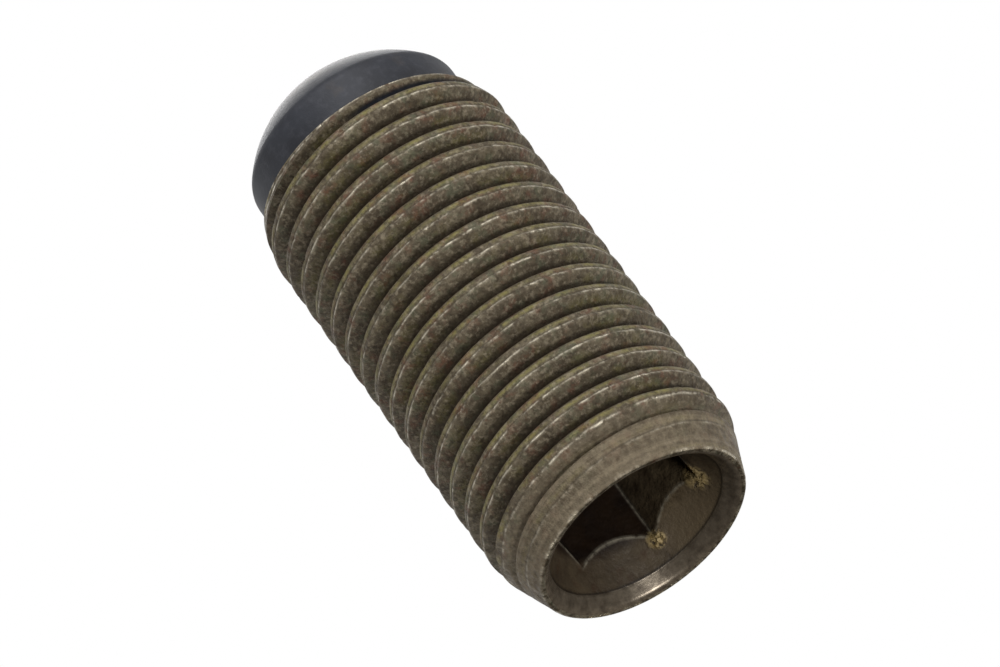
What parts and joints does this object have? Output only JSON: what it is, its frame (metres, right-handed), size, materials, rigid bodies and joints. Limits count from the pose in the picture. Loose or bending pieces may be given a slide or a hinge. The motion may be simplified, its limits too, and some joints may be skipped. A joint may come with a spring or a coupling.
{
  "type": "adjusting screw",
  "caption": "Headless adjusting screw with a domed nose, a fine right-hand thread and a hexagon socket in a conical countersink.",
  "frame": {"origin": "on the screw's axis, in the plane of the flat rim round the hexagon socket, on which the screw stands", "axes": "+Z along the axis from the socket to the domed nose, +X through a corner of the hexagon socket"},
  "size_m": [0.0118, 0.0118, 0.0269],
  "materials": {
    "screw_steel": "dark oxide, lightly worn"
  },
  "bodies": {
    "root": {"adjusting_screw": "screw_steel"}
  },
  "joints": []
}
